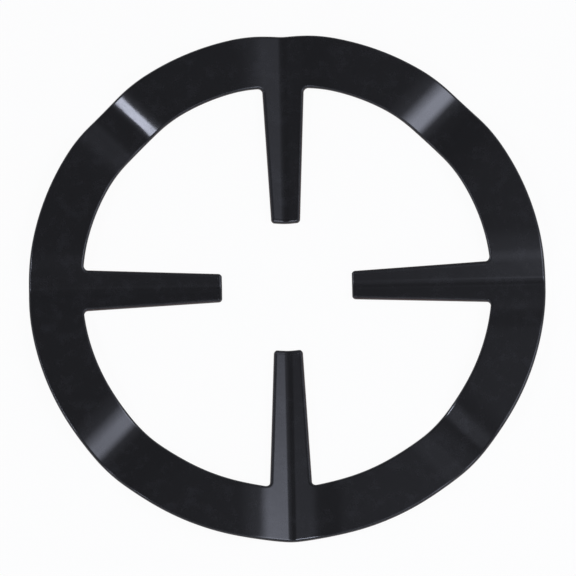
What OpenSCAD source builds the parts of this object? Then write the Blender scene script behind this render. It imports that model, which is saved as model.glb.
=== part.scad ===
// Burner grate: one pressed and enamelled steel sheet. A flat ring carries four tapered fingers that
// point at the burner, and eight radial grooves stiffen it. The grooves' floors are what it stands on.
// Frame: millimetres, +Z up, origin under the centre at the level of the groove floors, fingers on X and Y.

/* [Ring] */
// Outer diameter of the ring
outer_diameter = 140; // [110:0.5:180]
// Width of the ring's band
ring_width = 14.65; // [10:0.05:22]

/* [Fingers] */
// Diameter of the circle that the four finger tips leave free
tip_circle_diameter = 35.2; // [20:0.1:60]
// Width of a finger where it leaves the ring
finger_root_width = 11.8; // [8:0.1:20]
// Width of a finger at its tip, before the corners are rounded
finger_tip_width = 8.2; // [5:0.1:14]
// Radius of the two corners of a tip
tip_corner_radius = 1; // [0.4:0.1:3]
// Radius between a finger's side and the ring
root_fillet_radius = 1; // [0.4:0.1:4]

/* [Grooves] */
// Length of the straight part of a cross groove's flank, which with the bends sets every groove's depth
flank_length = 3.5; // [1:0.1:8]
// Sine of a flank's steepest slope, 0.352 for 20.6 degrees
flank_sine = 0.352; // [0.2:0.001:0.5]
// Radius of the upper face along the floor of a groove that only crosses the ring
cross_floor_radius = 8; // [2:0.1:12]
// Radius of the upper face along the floor of a groove that runs on along a finger
finger_floor_radius = 3.6; // [1:0.1:12]
// Radius of the under face where a flank turns into the flat
shoulder_radius = 24; // [6:0.5:30]

/* [Sheet] */
// Thickness of the sheet with its enamel
sheet_thickness = 1.5; // [0.8:0.1:3]

/* [Part] */
// Sub-part to draw

/* [Hidden] */
$fn = 180;
grooves = 8;
groove_pitch = 360 / grooves;
outer_r = outer_diameter / 2;
inner_r = outer_r - ring_width;
tip_x = tip_circle_diameter / 2;
// Round corners reach this far past the lines they meet, and the blank this far past the outline.
joint_overlap = 0.0001;
blank_margin = 2;

// A groove's section: floor bend, straight flank, shoulder bend, flat. All grooves are equally deep.
flank_cosine = sqrt(1 - flank_sine ^ 2);
flank_normal = [-flank_sine, flank_cosine];
function bend_sum(floor_r) = floor_r + shoulder_radius + sheet_thickness;
groove_depth = bend_sum(cross_floor_radius) * (1 - flank_cosine) + flank_length * flank_sine;
total_height = groove_depth + sheet_thickness;

// Half the width of a groove between its flats, from the length of flank that its depth leaves.
function half_width(floor_r) = bend_sum(floor_r) * flank_sine
    + (groove_depth - bend_sum(floor_r) * (1 - flank_cosine)) / flank_sine * flank_cosine;

// A finger's outline: two straight sides that close in towards the tip.
taper = atan((finger_root_width - finger_tip_width) / 2 / (inner_r - tip_x));
slope = tan(taper);
side_at_zero = finger_tip_width / 2 - slope * tip_x;
corner_x = tip_x + tip_corner_radius;
corner_y = side_at_zero + slope * corner_x - tip_corner_radius / cos(taper);
finger_end = inner_r + 3;

// The fillet's centre lies one radius outside the side line and one radius inside the opening's circle.
fillet_line = side_at_zero + root_fillet_radius / cos(taper);
fillet_reach = inner_r - root_fillet_radius;
fillet_x = (sqrt(fillet_reach ^ 2 * (1 + slope ^ 2) - fillet_line ^ 2) - fillet_line * slope)
    / (1 + slope ^ 2);
fillet_y = fillet_line + slope * fillet_x;
fillet_turn = atan2(fillet_y, fillet_x);

enamel = [0.09, 0.095, 0.105];

// A band of the sheet bent about the origin, between two directions given as unit vectors.
module bend_2d(inside_radius, from, to) {
    reach = 2 * (inside_radius + sheet_thickness);
    intersection() {
        difference() {
            circle(r = inside_radius + sheet_thickness);
            circle(r = inside_radius);
        }
        polygon([[0, 0], reach * from, reach * to]);
    }
}

// One side of a groove's section, from the end of the floor bend to the flat.
module half_section_2d(floor_r) {
    floor_centre = [0, floor_r + sheet_thickness];
    shoulder_centre = [half_width(floor_r), groove_depth - shoulder_radius];
    polygon([
        floor_centre - floor_r * flank_normal,
        floor_centre - (floor_r + sheet_thickness) * flank_normal,
        shoulder_centre + shoulder_radius * flank_normal,
        shoulder_centre + (shoulder_radius + sheet_thickness) * flank_normal,
    ]);
    translate(shoulder_centre)
        bend_2d(shoulder_radius, [0, 1], flank_normal);
}

// A whole groove's section: X across the groove, Y up.
module groove_section_2d(floor_r) {
    translate([0, floor_r + sheet_thickness])
        bend_2d(floor_r, [-flank_sine, -flank_cosine], [flank_sine, -flank_cosine]);
    half_section_2d(floor_r);
    mirror([1, 0])
        half_section_2d(floor_r);
}

// A groove that runs along +X, from a radius to past the rim.
module groove(floor_r, start_r) {
    rotate([90, 0, 90])
        translate([0, 0, start_r])
            linear_extrude(height = outer_r + blank_margin - start_r)
                groove_section_2d(floor_r);
}

// Turns what lies on +X to a groove's place in the sheet, where the first groove is half a pitch from +X.
module at_groove(index) {
    rotate([0, 0, (index + 0.5) * groove_pitch])
        children();
}

// The gap that a groove along +X takes out of the flat sheet.
module groove_gap(floor_r) {
    translate([0, -half_width(floor_r), groove_depth - 1])
        cube([2 * outer_r, 2 * half_width(floor_r), sheet_thickness + 2]);
}

// The flat sheet of the ring with a gap for every groove.
module gapped_flat() {
    difference() {
        at_groove(0)
            translate([0, 0, groove_depth])
                cylinder(r = outer_r + blank_margin, h = sheet_thickness);
        at_groove(0)
            translate([0, 0, groove_depth - 1])
                cylinder(r = inner_r - blank_margin, h = sheet_thickness + 2);
        for (index = [0:2:grooves - 1]) {
            at_groove(index)
                groove_gap(finger_floor_radius);
            at_groove(index + 1)
                groove_gap(cross_floor_radius);
        }
    }
}

// The pressed sheet before its outline is cut. Every second groove runs on along a finger.
module pressed_sheet() {
    gapped_flat();
    for (index = [0:2:grooves - 1]) {
        at_groove(index)
            groove(finger_floor_radius, tip_x - blank_margin);
        at_groove(index + 1)
            groove(cross_floor_radius, inner_r - 2 * blank_margin);
    }
}

// What rounding takes off the tip corner on a finger's +Y side.
module tip_corner_2d() {
    reach = tip_corner_radius + 1;
    difference() {
        polygon([
            [corner_x, corner_y],
            [corner_x - reach * sin(taper), corner_y + reach * cos(taper)],
            [corner_x - reach, corner_y + reach],
            [corner_x - reach, corner_y],
        ]);
        translate([corner_x, corner_y])
            circle(r = tip_corner_radius + joint_overlap);
    }
}

// A finger along +X with its rounded tip corners.
module finger_2d() {
    tip_y = finger_tip_width / 2;
    end_y = side_at_zero + slope * finger_end;
    difference() {
        polygon([
            [tip_x, -tip_y],
            [finger_end, -end_y],
            [finger_end, end_y],
            [tip_x, tip_y],
        ]);
        tip_corner_2d();
        mirror([0, 1])
            tip_corner_2d();
    }
}

// The fillet on the +Y side of a finger's root, with some of the sheet behind it.
module root_fillet_2d() {
    reach = root_fillet_radius + 0.5;
    difference() {
        polygon([
            [fillet_x, fillet_y],
            [fillet_x + reach * sin(taper), fillet_y - reach * cos(taper)],
            [inner_r + 0.5, side_at_zero + slope * inner_r - 0.5],
            (inner_r + 0.5) * [cos(fillet_turn), sin(fillet_turn)],
        ]);
        translate([fillet_x, fillet_y])
            circle(r = root_fillet_radius + joint_overlap);
    }
}

// The whole outline, seen from above.
module outline_2d() {
    difference() {
        circle(r = outer_r);
        circle(r = inner_r);
    }
    for (index = [0:2:grooves - 1])
        rotate(index * groove_pitch) {
            finger_2d();
            root_fillet_2d();
            mirror([0, 1])
                root_fillet_2d();
        }
}

module burner_grate() {
    color(enamel)
        intersection() {
            rotate([0, 0, -groove_pitch / 2])
                pressed_sheet();
            translate([0, 0, -1])
                linear_extrude(height = total_height + 2)
                    outline_2d();
        }
}

burner_grate();
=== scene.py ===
"""Burner grate: pressed sheet steel in gloss black enamel, on a pale studio floor.

Everything is in the part's own frame: +Z up, the origin under the centre at the level of the groove
floors, one finger on each of +X, +Y, -X and -Y. Shapes are worked out in millimetres and stored in metres.
"""
import logging
import math
from dataclasses import dataclass
from enum import Enum

import bpy
import numpy as np
from mathutils import Matrix, Vector


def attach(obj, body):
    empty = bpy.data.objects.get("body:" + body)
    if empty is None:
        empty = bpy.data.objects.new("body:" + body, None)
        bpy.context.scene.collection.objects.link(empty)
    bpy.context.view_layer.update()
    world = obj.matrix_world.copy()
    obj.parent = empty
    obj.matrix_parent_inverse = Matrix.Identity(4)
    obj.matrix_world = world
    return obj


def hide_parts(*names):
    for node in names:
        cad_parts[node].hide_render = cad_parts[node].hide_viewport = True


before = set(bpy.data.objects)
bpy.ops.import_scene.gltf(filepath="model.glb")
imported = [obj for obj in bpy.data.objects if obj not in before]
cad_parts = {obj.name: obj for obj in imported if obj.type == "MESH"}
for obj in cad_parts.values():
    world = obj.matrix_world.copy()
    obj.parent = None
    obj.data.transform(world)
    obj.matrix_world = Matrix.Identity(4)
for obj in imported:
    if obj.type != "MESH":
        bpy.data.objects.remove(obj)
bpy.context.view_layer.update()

MM = 0.001
COOL_WHITE = "#e6ebff"
PLAIN_WHITE = (1.0, 1.0, 1.0, 1.0)
log = logging.getLogger("burner_grate")


class Groove(Enum):
    """The two kinds of pressed groove, by where they run.

    Each value is the upper face's floor radius in mm, the under face's shoulder radius in mm and the sine of
    the flank's slope.
    """

    FINGER = (3.6, 24.0, 0.352)
    CROSS = (12.0, 22.0, 0.375)


@dataclass(frozen=True)
class GrooveSection:
    """The sheet's height across one groove, in mm: floor bend, straight flank, shoulder bend, flat.

    The column counts say into how many strips half of each part is cut.
    """

    kind: Groove
    thickness: float = 1.5
    depth: float = 3.376
    floor_columns: int = 10
    flank_columns: int = 7
    shoulder_columns: int = 15

    @property
    def floor_radius(self) -> float:
        """Radius of the upper face along the groove's floor."""
        return self.kind.value[0]

    @property
    def shoulder_radius(self) -> float:
        """Radius of the under face where the flank turns into the flat."""
        return self.kind.value[1]

    @property
    def flank_sine(self) -> float:
        """Sine of the flank's slope."""
        return self.kind.value[2]

    @property
    def flank_cosine(self) -> float:
        """Cosine of the flank's slope."""
        return math.sqrt(1.0 - self.flank_sine**2)

    @property
    def bend_sum(self) -> float:
        """Floor radius, thickness and shoulder radius together, which is the same along either face."""
        return self.floor_radius + self.thickness + self.shoulder_radius

    @property
    def half_width(self) -> float:
        """Distance from the groove's line to where the flat begins."""
        flank = (self.depth - self.bend_sum * (1.0 - self.flank_cosine)) / self.flank_sine
        return self.bend_sum * self.flank_sine + flank * self.flank_cosine

    def heights(self, across: np.ndarray, upper: bool) -> np.ndarray:
        """Height of the upper or lower face at a distance from the groove's line.

        The floor is an arc about a point above it, the flank a straight line at the arc's end slope, the
        shoulder an arc about a point below it that ends level, and past it the sheet is flat.

        Args:
            across: Signed distances from the groove's line, in mm.
            upper: True for the upper face, False for the lower one.

        Returns:
            Heights in mm, one for each distance.
        """
        y = np.abs(across)
        floor_r = self.floor_radius + (0.0 if upper else self.thickness)
        shoulder_r = self.shoulder_radius + (self.thickness if upper else 0.0)
        floor_top = self.floor_radius + self.thickness
        sine, cosine = self.flank_sine, self.flank_cosine
        floor = floor_top - np.sqrt(np.maximum(floor_r**2 - y**2, 0.0))
        flank = floor_top - floor_r * cosine + (y - floor_r * sine) * sine / cosine
        past = np.clip(self.half_width - y, 0.0, shoulder_r * sine)
        shoulder = self.depth - self.shoulder_radius + np.sqrt(shoulder_r**2 - past**2)
        bend_ends = self.half_width - shoulder_r * sine
        return np.select([y < floor_r * sine, y < bend_ends], [floor, flank], shoulder)

    def stations(self) -> np.ndarray:
        """Distances from the groove's line at which the surface gets a column, close together in the bends.

        Returns:
            Rising distances from 0 to the half width, in mm.
        """
        floor_end = (self.floor_radius + self.thickness) * self.flank_sine
        shoulder_start = self.half_width - (self.shoulder_radius + self.thickness) * self.flank_sine
        return np.concatenate([
            np.linspace(0.0, floor_end, self.floor_columns + 1),
            np.linspace(floor_end, shoulder_start, self.flank_columns + 1)[1:],
            np.linspace(shoulder_start, self.half_width, self.shoulder_columns + 1)[1:],
        ])


@dataclass(frozen=True)
class Outline:
    """A run of the plan outline: points on the cut edge and the unit normals out of the material.

    The lean is how much further in the cut's upper corner lies than its lower one, in mm.
    """

    points: np.ndarray
    normals: np.ndarray
    lean: np.ndarray | float = 0.0

    def inset(self, distance: float, lean_share: float = 0.0) -> np.ndarray:
        """The same run moved into the material: point minus (distance + share of the lean) times normal."""
        shift = np.broadcast_to(distance + lean_share * np.asarray(self.lean), len(self.points))
        return self.points - shift[:, None] * self.normals


@dataclass
class PressedSheet:
    """The whole grate: a ring with four tapered fingers and eight grooves, as one closed skin.

    Sizes are in mm. Those of the outline are the same as in the part's source; the rounding is the scene's.
    Columns out to `fixed_columns` keep their distance from a finger's line, and the others close in with its
    sides.
    """

    outer_radius: float = 70.0
    ring_width: float = 14.65
    tip_circle_radius: float = 17.6
    finger_root_width: float = 11.8
    finger_tip_width: float = 8.2
    tip_corner_radius: float = 1.0
    root_fillet_radius: float = 1.0
    edge_rounding: float = 0.66
    fixed_columns: float = 1.9
    sectors: int = 8
    ring_rows: int = 15
    side_rows: int = 30
    flat_columns: int = 8
    bend_points: int = 9
    round_points: int = 7

    @property
    def inner_radius(self) -> float:
        """Radius of the ring's opening."""
        return self.outer_radius - self.ring_width

    @property
    def slope(self) -> float:
        """How fast half a finger's width grows towards the ring."""
        rise = (self.finger_root_width - self.finger_tip_width) / 2.0
        return rise / (self.inner_radius - self.tip_circle_radius)

    def finger_side(self, section: GrooveSection) -> Outline:
        """The +Y edge of the +X finger, from its tip to the ring's opening.

        A quarter turn about the tip corner's centre, the straight side, and the root fillet, which is an
        arc about the point one fillet radius outside the side and one inside the opening's circle. The sheet
        was cut flat and pressed afterwards, so the cut is square to the flank: it leans by thickness times
        s / sqrt(1 + s^2), with s the sheet's rise along the normal, and the lean fades out along the fillet.

        Args:
            section: The groove that runs along the finger.

        Returns:
            The run of the outline, in mm.
        """
        taper = math.atan(self.slope)
        at_zero = self.finger_tip_width / 2.0 - self.slope * self.tip_circle_radius
        corner_x = self.tip_circle_radius + self.tip_corner_radius
        corner_y = at_zero + self.slope * corner_x - self.tip_corner_radius / math.cos(taper)
        corner = np.array([corner_x, corner_y])
        line = at_zero + self.root_fillet_radius / math.cos(taper)
        reach = self.inner_radius - self.root_fillet_radius
        grade = 1.0 + self.slope**2
        fillet_x = (math.sqrt(reach**2 * grade - line**2) - line * self.slope) / grade
        fillet = np.array([fillet_x, line + self.slope * fillet_x])
        side_normal = np.array([-math.sin(taper), math.cos(taper)])
        turn = np.linspace(math.pi, math.pi / 2.0 + taper, self.bend_points)
        round_normals = np.stack([np.cos(turn), np.sin(turn)], axis=1)
        start = corner + self.tip_corner_radius * side_normal
        end = fillet - self.root_fillet_radius * side_normal
        share = self._graded(0.0, 1.0, self.side_rows, 0.004)[1:-1, None]
        straight = start + (end - start) * share
        bend = np.linspace(taper - math.pi / 2.0, math.atan2(fillet[1], fillet[0]), self.bend_points)
        fillet_normals = -np.stack([np.cos(bend), np.sin(bend)], axis=1)
        points = np.concatenate([
            corner + self.tip_corner_radius * round_normals,
            straight,
            fillet - self.root_fillet_radius * fillet_normals,
        ])
        side_normals = np.repeat(side_normal[None], len(straight), 0)
        normals = np.concatenate([round_normals, side_normals, fillet_normals])
        step = 0.05
        rise = section.heights(points[:, 1] + step, True) - section.heights(points[:, 1] - step, True)
        rise = np.maximum(rise / (2.0 * step) * normals[:, 1], 0.0)
        fade = np.ones(len(points))
        fade[-len(bend):] = np.linspace(1.0, 0.0, len(bend))
        lean = section.thickness * rise / np.sqrt(1.0 + rise**2) * fade
        return Outline(points, normals, lean)

    @staticmethod
    def _graded(start: float, end: float, count: int, first: float) -> np.ndarray:
        """Stations from start to end that crowd near both ends.

        A cosine spacing, with one more station a small share of the span inside each end, which keeps the
        shading of the rounded edge out of the surface beside it.

        Args:
            start: First station.
            end: Last station.
            count: Number of cosine stations.
            first: Share of the span between an end and its close neighbour.

        Returns:
            Rising stations.
        """
        share = 0.5 - 0.5 * np.cos(np.linspace(0.0, math.pi, count))
        inner = share[share * (1.0 - share) > first * 1.5]
        share = np.unique(np.concatenate([inner, [0.0, first, 1.0 - first, 1.0]]))
        return start + (end - start) * share

    def ring_columns(self, section: GrooveSection, extra: float | None, radii: np.ndarray) -> np.ndarray:
        """Plan points of half a ring sector, from the groove's line to half a pitch away.

        Inside the groove a column keeps its distance y from the groove's line, so its point at radius r is
        (sqrt(r^2 - y^2), y). On the flat the column's angle runs evenly from there to the sector's end.

        Args:
            section: The groove that the sector is built round.
            extra: One more distance that has to be a column, or None.
            radii: Radii of the rows, in mm.

        Returns:
            An array of rows by columns by 2, in mm.
        """
        across = section.stations()
        too_close = 0.12
        if extra is not None:
            across = np.sort(np.append(across[np.abs(across - extra) > too_close], extra))
        r = radii[:, None]
        ahead = np.sqrt(r**2 - across**2)
        groove = np.stack([ahead, np.broadcast_to(across, ahead.shape)], axis=2)
        share = np.linspace(0.0, 1.0, self.flat_columns + 1)[1:]
        first = np.arcsin(section.half_width / r)
        angle = first + (math.pi / self.sectors - first) * share
        flat = np.stack([r * np.cos(angle), r * np.sin(angle)], axis=2)
        return np.concatenate([groove, flat], axis=1)

    def finger_grid(self, side: Outline, columns: np.ndarray, upper: bool) -> np.ndarray:
        """Plan points of half a finger, from its middle line to its inset side.

        Each row lies at the side point's x. Columns near the middle keep their y; those outside are
        stretched to reach the side. Towards the root the rows bend into the opening's circle.

        Args:
            side: The finger's edge.
            columns: The ring's column distances up to the fillet's end, in mm.
            upper: True for the upper face, False for the lower one.

        Returns:
            An array of rows by columns by 2, in mm.
        """
        edge = side.inset(self.edge_rounding, 1.0 if upper else 0.0)
        fixed = self.fixed_columns
        share = np.clip((columns - fixed) / (columns[-1] - fixed), 0.0, 1.0)
        y = np.where(columns <= fixed, columns, fixed + share * (edge[:, 1:] - fixed))
        opening = self.inner_radius + self.edge_rounding
        bulge = np.sqrt(opening**2 - y**2) - np.sqrt(opening**2 - edge[:, 1:] ** 2)
        span = edge[-1, 0] - edge[0, 0]
        weight = np.clip((edge[:, :1] - edge[0, 0]) / span * 2.0 - 1.0, 0.0, 1.0) ** 2
        return np.stack([edge[:, :1] + weight * bulge, y], axis=2)

    def skin(self) -> tuple[np.ndarray, np.ndarray, np.ndarray]:
        """The closed skin of the sheet.

        Every sector gives an upper and a lower sheet of quads over the same lines of plan points, and
        strips round its cut edges: an edge point moves out to rounding * (1 - sin b) short of the cut while
        it drops by rounding * (1 - cos b), for b from 0 to 90 degrees, then down the cut, and back in
        underneath. Along a finger the cut leans, so there the upper sheet ends further in than the lower
        one. The sectors are turned to their places and joined where their points agree.

        Returns:
            Vertices in metres, quads as vertex numbers, and for each vertex how near the cut edge it is,
            from 0 on the faces to 1 on the middle of the edge.
        """
        patches = []
        for index in range(self.sectors):
            kind = Groove.FINGER if index % 2 == 0 else Groove.CROSS
            turn = 2.0 * math.pi * index / self.sectors
            patches += [self._turned(patch, turn) for patch in self._sector(GrooveSection(kind))]
        points, quads, marks, offset = [], [], [], 0
        for grid, mark in patches:
            rows, columns = grid.shape[:2]
            number = offset + np.arange(rows * columns).reshape(rows, columns)
            corners = [number[:-1, :-1], number[1:, :-1], number[1:, 1:], number[:-1, 1:]]
            quads.append(np.stack(corners, axis=2).reshape(-1, 4))
            points.append(grid.reshape(-1, 3))
            marks.append(mark.reshape(-1))
            offset += rows * columns
        cloud, mark = np.concatenate(points), np.concatenate(marks)
        _, first, number = np.unique(np.round(cloud, 4), axis=0, return_index=True, return_inverse=True)
        return cloud[first] * MM, number.reshape(-1)[np.concatenate(quads)], mark[first]

    @staticmethod
    def _turned(patch: tuple[np.ndarray, np.ndarray], angle: float) -> tuple[np.ndarray, np.ndarray]:
        """A patch turned about +Z.

        Args:
            patch: A grid of points and a grid of edge marks.
            angle: The turn in radians, anticlockwise from above.

        Returns:
            The turned points, and the edge marks unchanged.
        """
        cosine, sine = math.cos(angle), math.sin(angle)
        turn = np.array([[cosine, sine, 0.0], [-sine, cosine, 0.0], [0.0, 0.0, 1.0]])
        return patch[0] @ turn, patch[1]

    def _sector(self, section: GrooveSection) -> list[tuple[np.ndarray, np.ndarray]]:
        """All patches of one sector, built round +X.

        Args:
            section: The sector's groove.

        Returns:
            Pairs of a grid of points in mm and a grid of edge marks.
        """
        inset = self.edge_rounding
        radii = self._graded(self.inner_radius + inset, self.outer_radius - inset, self.ring_rows, 0.012)
        finger = section.kind is Groove.FINGER
        side = self.finger_side(section) if finger else None
        half = self.ring_columns(section, side.inset(inset)[-1, 1] if finger else None, radii)
        plans = [(self._mirrored(half), upper) for upper in (True, False)]
        rims = [self._arc(half[-1], 1.0, mirror=True)]
        if finger:
            columns = half[0, :, 1][half[0, :, 1] <= side.inset(inset)[-1, 1] + 1e-6]
            for upper in (True, False):
                plans.append((self._mirrored(self.finger_grid(side, columns, upper)), upper))
            tip_y = plans[-1][0][0, ::-1, 1]
            tip = np.stack([np.full(len(tip_y), self.tip_circle_radius), tip_y], axis=1)
            rims.append(Outline(tip, np.tile([-1.0, 0.0], (len(tip_y), 1))))
            rims.append(Outline(side.points[::-1], side.normals[::-1], side.lean[::-1]))
            rims.append(Outline(side.points * [1.0, -1.0], side.normals * [1.0, -1.0], side.lean))
            opening = self._arc(half[0, len(columns) - 1:], -1.0, mirror=False)
            rims.append(Outline(opening.points[::-1], opening.normals[::-1]))
            rims.append(Outline(opening.points * [1.0, -1.0], opening.normals * [1.0, -1.0]))
        else:
            opening = self._arc(half[0], -1.0, mirror=True)
            rims.append(Outline(opening.points[::-1], opening.normals[::-1]))
        patches = []
        for plan, upper in plans:
            height = section.heights(plan[..., 1], upper)
            grid = np.concatenate([plan, height[..., None]], axis=2)
            patches.append((grid if upper else grid[:, ::-1], np.zeros(plan.shape[:2])))
        return patches + [self._rim(rim, section) for rim in rims]

    @staticmethod
    def _mirrored(half: np.ndarray) -> np.ndarray:
        """Rows of half a sector joined to their mirror image in the groove's line."""
        return np.concatenate([half[:, :0:-1] * [1.0, -1.0], half], axis=1)

    def _arc(self, plateau: np.ndarray, way: float, mirror: bool) -> Outline:
        """The circular cut edge beside a row of plan points.

        Args:
            plateau: The row, inset from the edge.
            way: 1 for the outer edge, -1 for the opening.
            mirror: Whether the row's mirror image in the groove's line comes first.

        Returns:
            The run of the outline, with a point for each point of the row.
        """
        row = np.concatenate([plateau[:0:-1] * [1.0, -1.0], plateau]) if mirror else plateau
        radial = row / np.linalg.norm(row, axis=1, keepdims=True)
        radius = self.outer_radius if way > 0 else self.inner_radius
        return Outline(radial * radius, radial * way)

    def _rim(self, rim: Outline, section: GrooveSection) -> tuple[np.ndarray, np.ndarray]:
        """The strip that closes one run of the cut edge, from the upper face round to the lower one.

        Beside its rounding, the edge moves in by the lean times the height of the point over the lower face.

        Args:
            rim: The run of the outline.
            section: The groove whose heights the edge follows.

        Returns:
            The grid of points in mm and the grid of edge marks.
        """
        turn = np.linspace(0.0, math.pi / 2.0, self.round_points)
        rows, marks = [], []
        for upper, angles in ((True, turn), (False, turn[::-1])):
            for angle in angles:
                drop = self.edge_rounding * (1.0 - math.cos(angle))
                level = 1.0 - drop / section.thickness if upper else drop / section.thickness
                plan = rim.inset(self.edge_rounding * (1.0 - math.sin(angle)), level)
                height = section.heights(plan[:, 1], upper) + (-drop if upper else drop)
                rows.append(np.concatenate([plan, height[:, None]], axis=1))
                marks.append(np.full(len(plan), math.sin(angle)))
        return np.stack(rows), np.stack(marks)

    def build(self, name: str) -> bpy.types.Object:
        """Puts the skin into a mesh object with a smooth surface and an edge attribute.

        Args:
            name: The object's name.

        Returns:
            The new object, linked to the scene.
        """
        vertices, quads, edge = self.skin()
        mesh = bpy.data.meshes.new(name)
        mesh.from_pydata(vertices.tolist(), [], quads.tolist())
        mesh.polygons.foreach_set("use_smooth", np.ones(len(quads), dtype=bool))
        mesh.attributes.new("cut_edge", "FLOAT", "POINT").data.foreach_set("value", edge.astype(np.float32))
        mesh.update()
        piece = bpy.data.objects.new(name, mesh)
        bpy.context.collection.objects.link(piece)
        return piece


def linear_colour(code: str) -> tuple[float, float, float, float]:
    """An sRGB hex colour as linear light: c / 12.92 in the dark, ((c + 0.055) / 1.055) ^ 2.4 above.

    Args:
        code: Six hex digits after a hash sign.

    Returns:
        Linear red, green and blue, and an alpha of 1.
    """
    parts = (int(code[i:i + 2], 16) / 255.0 for i in (1, 3, 5))
    red, green, blue = (c / 12.92 if c <= 0.04045 else ((c + 0.055) / 1.055) ** 2.4 for c in parts)
    return red, green, blue, 1.0


def add_node(
    tree: bpy.types.NodeTree, kind: str, settings: dict | None = None, links: dict | None = None
) -> bpy.types.Node:
    """Adds a node to a tree, with its settings and what feeds its sockets.

    Args:
        tree: The node tree.
        kind: The node's type name.
        settings: Values by attribute name, or by input name or number.
        links: Output sockets by input name or number.

    Returns:
        The new node.
    """
    node = tree.nodes.new(kind)
    for key, value in (settings or {}).items():
        if isinstance(key, str) and hasattr(node, key):
            setattr(node, key, value)
        else:
            node.inputs[key].default_value = value
    for key, source in (links or {}).items():
        tree.links.new(source, node.inputs[key])
    return node


def remap(
    tree: bpy.types.NodeTree,
    value: bpy.types.NodeSocket,
    span: tuple[float, float],
    result: tuple[float, float] = (0.0, 1.0),
) -> bpy.types.NodeSocket:
    """Maps a value evenly from one span to another, held at the ends.

    Args:
        tree: The node tree.
        value: The value's socket.
        span: Where the value starts and ends.
        result: What those two become.

    Returns:
        The result's socket.
    """
    limits = {"From Min": span[0], "From Max": span[1], "To Min": result[0], "To Max": result[1]}
    return add_node(tree, "ShaderNodeMapRange", limits, {"Value": value}).outputs["Result"]


def combine(
    tree: bpy.types.NodeTree, operation: str, first: bpy.types.NodeSocket, second: bpy.types.NodeSocket
) -> bpy.types.NodeSocket:
    """One operation on two values.

    Args:
        tree: The node tree.
        operation: Its name, as the Math node has it.
        first: The first value's socket.
        second: The second value's socket.

    Returns:
        The result's socket.
    """
    return add_node(tree, "ShaderNodeMath", {"operation": operation}, {0: first, 1: second}).outputs[0]


def noise(
    tree: bpy.types.NodeTree, place: bpy.types.NodeSocket, per_metre: float, detail: float,
    roughness: float = 0.5,
) -> bpy.types.NodeSocket:
    """A cloudy pattern.

    Args:
        tree: The node tree.
        place: Socket of the point in the object, in metres.
        per_metre: Number of clouds in a metre.
        detail: Number of finer octaves.
        roughness: Share of each octave in the one before it.

    Returns:
        The pattern's socket, from 0 to 1.
    """
    settings = {"Scale": per_metre, "Detail": detail, "Roughness": roughness}
    return add_node(tree, "ShaderNodeTexNoise", settings, {"Vector": place}).outputs["Fac"]


def blend(
    tree: bpy.types.NodeTree, share: bpy.types.NodeSocket, first: bpy.types.NodeSocket | str, second: str
) -> bpy.types.NodeSocket:
    """Mixes two colours.

    Args:
        tree: The node tree.
        share: Socket of the second colour's share.
        first: The first colour, as a socket or a hex code.
        second: The second colour's hex code.

    Returns:
        The mixed colour's socket.
    """
    first_input, second_input, colour_output = 6, 7, 2
    node = add_node(tree, "ShaderNodeMix", {"data_type": "RGBA"}, {"Factor": share})
    if isinstance(first, str):
        node.inputs[first_input].default_value = linear_colour(first)
    else:
        tree.links.new(first, node.inputs[first_input])
    node.inputs[second_input].default_value = linear_colour(second)
    return node.outputs[colour_output]


def new_material(name: str) -> bpy.types.Material:
    """An empty node material.

    Args:
        name: The material's name.

    Returns:
        The material, with no nodes in it.
    """
    material = bpy.data.materials.new(name)
    material.use_nodes = True
    material.node_tree.nodes.clear()
    return material


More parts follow.
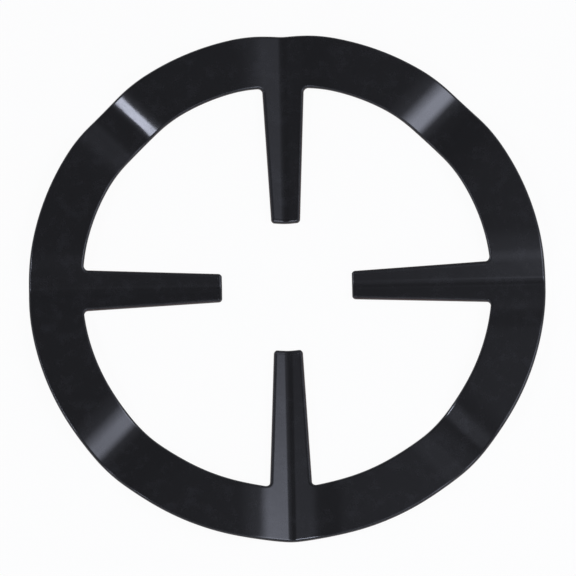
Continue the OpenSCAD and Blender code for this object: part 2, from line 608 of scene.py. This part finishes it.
@dataclass(frozen=True)
class VitreousEnamel:
    """Gloss black vitreous enamel, sprayed as glass powder on pressed steel and fired.

    Patterns are given by how many of their clouds fill a metre: waves are 3 mm long, grains 0.7 mm, smears
    22 mm and dust 5 mm. Bump heights are in metres.
    """

    name: str = "gloss_black_vitreous_enamel"
    colour: str = "#1d1c1b"
    dust_colour: str = "#77777c"
    edge_colour: str = "#4a2f26"
    ior: float = 1.5
    roughness: float = 0.12
    edge_roughness: float = 0.28
    waves_per_metre: float = 320.0
    wave_height: float = 0.00004
    grains_per_metre: float = 1500.0
    grain_height: float = 0.00001
    smears_per_metre: float = 45.0
    dust_per_metre: float = 210.0

    def make(self) -> bpy.types.Material:
        """Builds the enamel's nodes.

        The glaze flows in the kiln, so its face has a shallow waviness and a fine orange peel, which make the
        lamps' reflections waver. It thins over the cut edges, which are duller and show the brown of the
        ground coat. Smears of handling change the gloss in faint clouds, and a little dust greys the black.

        Returns:
            The material.
        """
        material = new_material(self.name)
        tree = material.node_tree
        place = add_node(tree, "ShaderNodeTexCoord").outputs["Object"]
        edge = add_node(tree, "ShaderNodeAttribute", {"attribute_name": "cut_edge"}).outputs["Fac"]
        waves = noise(tree, place, self.waves_per_metre, 2.0)
        grains = noise(tree, place, self.grains_per_metre, 1.0)
        smears = noise(tree, place, self.smears_per_metre, 4.0, 0.6)
        dust = noise(tree, place, self.dust_per_metre, 6.0, 0.7)
        wavy = add_node(tree, "ShaderNodeBump", {"Strength": 0.35, "Distance": self.wave_height},
                        {"Height": waves})
        peel = add_node(tree, "ShaderNodeBump", {"Strength": 0.25, "Distance": self.grain_height},
                        {"Height": grains, "Normal": wavy.outputs["Normal"]})
        clean = remap(tree, smears, (0.35, 0.75), (self.roughness - 0.03, self.roughness + 0.07))
        dull = remap(tree, edge, (0.05, 0.5), (0.0, self.edge_roughness))
        thin = combine(tree, "MULTIPLY", remap(tree, edge, (0.8, 1.0)), smears)
        glaze = blend(tree, thin, self.colour, self.edge_colour)
        dusty = blend(tree, remap(tree, dust, (0.5, 0.85), (0.0, 0.075)), glaze, self.dust_colour)
        shader = add_node(tree, "ShaderNodeBsdfPrincipled", {"IOR": self.ior, "Metallic": 0.0}, {
            "Base Color": dusty,
            "Roughness": combine(tree, "ADD", clean, dull),
            "Normal": peel.outputs["Normal"],
        })
        add_node(tree, "ShaderNodeOutputMaterial", links={"Surface": shader.outputs["BSDF"]})
        return material


@dataclass(frozen=True)
class StudioPaper:
    """Matt white background paper, rolled from bleached pulp: no gloss, and only a faint shadow on it.

    The glow is the share of plain white in what looks straight at the paper or mirrors it.
    """

    name: str = "matt_white_background_paper"
    colour: str = "#f2f2f2"
    glow_share: float = 0.95

    def make(self) -> bpy.types.Material:
        """Builds the paper's nodes: matt white, mixed with plain white for what looks straight at it.

        Returns:
            The material.
        """
        material = new_material(self.name)
        tree = material.node_tree
        matt = add_node(tree, "ShaderNodeBsdfDiffuse", {"Color": linear_colour(self.colour)}).outputs[0]
        white = add_node(tree, "ShaderNodeEmission", {"Color": PLAIN_WHITE, "Strength": 1.0}).outputs[0]
        rays = add_node(tree, "ShaderNodeLightPath").outputs
        direct = combine(tree, "MAXIMUM", rays["Is Camera Ray"], rays["Is Glossy Ray"])
        seen = combine(tree, "MAXIMUM", direct, rays["Is Transmission Ray"])
        share = add_node(tree, "ShaderNodeMath", {"operation": "MULTIPLY", 1: self.glow_share}, {0: seen})
        mixed = add_node(tree, "ShaderNodeMixShader",
                         links={0: share.outputs[0], 1: matt, 2: white}).outputs[0]
        add_node(tree, "ShaderNodeOutputMaterial", links={"Surface": mixed})
        return material


@dataclass
class BurnerGrate:
    """The one piece of the object: the enamelled pressing."""

    sheet: PressedSheet
    finish: VitreousEnamel

    def build(self) -> bpy.types.Object:
        """Makes the pressing, dresses it and puts it in place of the part's own node.

        Returns:
            The finished piece.
        """
        piece = self.sheet.build("enamelled_pressing")
        piece.data.materials.append(self.finish.make())
        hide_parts("burner_grate")
        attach(piece, "root")
        return piece


@dataclass(frozen=True)
class Lamp:
    """A rectangular soft box, in metres, with the radiance that white paper has under plain light as 1.

    The turn is in degrees about +Z, for a box that faces straight down.
    """

    name: str
    place: tuple[float, float, float]
    width: float
    height: float
    radiance: float
    turn: float = 0.0
    target: tuple[float, float, float] | None = None

    def build(self) -> bpy.types.Object:
        """Makes the area lamp. Its power is radiance * pi * area.

        Returns:
            The lamp, which faces its target, or straight down and turned about +Z where it has none.
        """
        data = bpy.data.lights.new(self.name, "AREA")
        data.shape = "RECTANGLE"
        data.size, data.size_y = self.width, self.height
        data.energy = self.radiance * math.pi * self.width * self.height
        data.color = linear_colour(COOL_WHITE)[:3]
        lamp = bpy.data.objects.new(self.name, data)
        if self.target is None:
            lamp.rotation_euler = (0.0, 0.0, math.radians(self.turn))
        else:
            back = Vector(self.place) - Vector(self.target)
            lamp.rotation_euler = back.to_track_quat("Z", "Y").to_euler()
        lamp.location = self.place
        bpy.context.collection.objects.link(lamp)
        return lamp


@dataclass(frozen=True)
class FlankLight:
    """A soft box overhead that a row of parallel groove flanks mirrors, with edges that fade.

    The bearing, in degrees from +X, is the way that the flanks lean to. Distances are in metres in the plane
    of the box: `near` and `far` along the bearing, `start` and `end` across it, along the grooves. All but
    `far` are pairs: where the light begins and where it is full.
    """

    name: str
    bearing: float
    start: tuple[float, float]
    end: tuple[float, float]
    near: tuple[float, float]
    far: float
    radiance: float

    def build(self, level: float) -> bpy.types.Object:
        """Makes the lamp at a level, facing down.

        Its strength is the product of three ramps from 0 to 1, each in the distance of a point of the box
        along one of its sides.

        Args:
            level: Height of the box, in metres.

        Returns:
            The lamp.
        """
        out = Vector((math.cos(math.radians(self.bearing)), math.sin(math.radians(self.bearing)), 0.0))
        along = Vector((-out.y, out.x, 0.0))
        middle = out * (self.near[0] + self.far) / 2.0 + along * (self.start[0] + self.end[0]) / 2.0
        width, height = self.far - self.near[0], self.end[0] - self.start[0]
        place = (middle.x, middle.y, level)
        lamp = Lamp(self.name, place, width, height, self.radiance, self.bearing).build()
        lamp.data.use_nodes = True
        tree = lamp.data.node_tree
        tree.nodes.clear()
        point = add_node(tree, "ShaderNodeNewGeometry").outputs["Position"]
        shares = []
        for way, span in ((out, self.near), (along, self.start), (along, self.end)):
            side = add_node(tree, "ShaderNodeVectorMath", {"operation": "DOT_PRODUCT", 1: way}, {0: point})
            shares.append(remap(tree, side.outputs["Value"], span))
        strength = combine(tree, "MULTIPLY", combine(tree, "MULTIPLY", shares[0], shares[1]), shares[2])
        light = add_node(tree, "ShaderNodeEmission", {"Color": PLAIN_WHITE}, {"Strength": strength})
        add_node(tree, "ShaderNodeOutputLight", links={"Surface": light.outputs[0]})
        return lamp


@dataclass
class Studio:
    """Floor, lamps, sky and camera.

    The sky's levels are radiances, and its two edges are heights of a direction, from 0 at the horizon to 1
    overhead. The floor lies a little under the part, which stands on it. Sizes are in metres.
    """

    floor_half: float = 6.0
    floor_level: float = -0.00002
    zenith: float = 0.17
    horizon: float = 0.6
    horizon_edge: float = 0.1
    zenith_edge: float = 0.55
    box_level: float = 0.5
    box_step: float = 0.003

    def build_floor(self) -> bpy.types.Object:
        """Lays the paper at the level that the object stands on.

        Returns:
            The floor.
        """
        corner = np.array([[-1, -1], [1, -1], [1, 1], [-1, 1]]) * self.floor_half
        points = np.concatenate([corner, np.full((4, 1), self.floor_level)], axis=1)
        mesh = bpy.data.meshes.new("floor")
        mesh.from_pydata(points.tolist(), [], [(0, 1, 2, 3)])
        floor = bpy.data.objects.new("floor", mesh)
        mesh.materials.append(StudioPaper().make())
        bpy.context.collection.objects.link(floor)
        return floor

    def build_sky(self) -> None:
        """Lights the room: pale walls round the horizon that darken to the ceiling, white to the camera."""
        world = bpy.data.worlds.new("studio")
        world.use_nodes = True
        bpy.context.scene.world = world
        tree = world.node_tree
        tree.nodes.clear()
        way = add_node(tree, "ShaderNodeTexCoord").outputs["Generated"]
        height = add_node(tree, "ShaderNodeSeparateXYZ", links={0: way}).outputs["Z"]
        level = remap(tree, height, (self.horizon_edge, self.zenith_edge), (self.horizon, self.zenith))
        direct = add_node(tree, "ShaderNodeLightPath").outputs["Is Camera Ray"]
        plain = combine(tree, "MAXIMUM", level, direct)
        light = add_node(tree, "ShaderNodeBackground", {"Color": linear_colour(COOL_WHITE)},
                         {"Strength": plain})
        add_node(tree, "ShaderNodeOutputWorld", links={"Surface": light.outputs[0]})

    def build_lamps(self) -> list[bpy.types.Object]:
        """Sets the soft boxes. Those overhead hang where the groove flanks mirror them, each a little higher.

        Returns:
            The lamps.
        """
        overhead = [
            FlankLight("left_card", 220.3, (-0.25, -0.23), (-0.04, -0.06), (0.335, 0.355), 0.46, 16.0),
            FlankLight("left_spill", 220.3, (-0.42, -0.36), (0.08, 0.00), (0.20, 0.33), 0.46, 0.45),
            FlankLight("right_haze", -43.8, (-0.28, 0.05), (0.60, 0.46), (-0.06, 0.15), 0.46, 0.38),
            FlankLight("right_box", -43.8, (-0.16, 0.10), (0.46, 0.25), (0.14, 0.34), 0.46, 5.8),
            FlankLight("back_card", 60.0, (-0.45, -0.25), (0.35, 0.15), (0.32, 0.55), 0.80, 0.25),
            FlankLight("top_right_haze", 10.0, (-0.40, -0.30), (0.55, 0.45), (-0.08, 0.14), 0.60, 0.05),
        ]
        boxes = [
            Lamp("side_left", (-1.6, 0.2, 0.9), 1.0, 1.0, 0.4, target=(0.0, 0.0, 0.0)),
            Lamp("side_right", (1.6, -0.2, 0.9), 1.0, 1.0, 0.6, target=(0.0, 0.0, 0.0)),
            Lamp("front", (0.0, -1.7, 0.8), 1.2, 0.9, 1.2, target=(0.0, 0.0, 0.0)),
        ]
        lamps = [light.build(self.box_level + self.box_step * index) for index, light in enumerate(overhead)]
        return lamps + [box.build() for box in boxes]

    def build_camera(self) -> bpy.types.Object:
        """Makes the camera: a long lens from nearly overhead, tipped 12.2 degrees towards the front.

        Its axes are those found from the rims of the ring in the picture, turned back by the part's own
        small turn on the floor. It stands off the centre of the flats' upper plane by its distance along the
        view and by the picture's offset across it. The scale is in pixels to the mm.

        Returns:
            The scene's camera.
        """
        side, tip, turn = math.radians(4.2), math.radians(12.18), math.radians(1.165)
        scale, picture, distance, offset = 3.701, 576.0, 1500.0, (-0.32, 1.06)
        back = Vector((math.sin(side) * math.sin(tip), -math.cos(side) * math.sin(tip), math.cos(tip)))
        right = Vector((0.0, 1.0, 0.0)).cross(back).normalized()
        up = back.cross(right)
        spin = Matrix.Rotation(-turn, 3, "Z")
        back, right, up = spin @ back, spin @ right, spin @ up
        data = bpy.data.cameras.new("camera")
        data.sensor_width = 36.0
        data.lens = scale * distance / picture * data.sensor_width
        data.clip_start, data.clip_end = 0.1, 50.0
        camera = bpy.data.objects.new("camera", data)
        flats = GrooveSection(Groove.FINGER).depth + GrooveSection(Groove.FINGER).thickness
        place = Vector((0.0, 0.0, flats)) + back * distance - right * offset[0] - up * offset[1]
        pose = Matrix((right, up, back)).transposed().to_4x4()
        pose.translation = place * MM
        camera.matrix_world = pose
        bpy.context.collection.objects.link(camera)
        bpy.context.scene.camera = camera
        return camera


def main() -> None:
    """Builds the studio and the grate."""
    logging.basicConfig(level=logging.INFO, format="%(name)s: %(message)s")
    bpy.context.scene.view_settings.view_transform = "Standard"
    studio = Studio()
    studio.build_camera()
    studio.build_floor()
    studio.build_sky()
    for lamp in studio.build_lamps():
        log.info("lamp %s", lamp.name)
    piece = BurnerGrate(PressedSheet(), VitreousEnamel()).build()
    log.info("%s: %d vertices, %d faces", piece.name, len(piece.data.vertices), len(piece.data.polygons))
    bpy.context.view_layer.update()


if __name__ == "__main__":
    main()
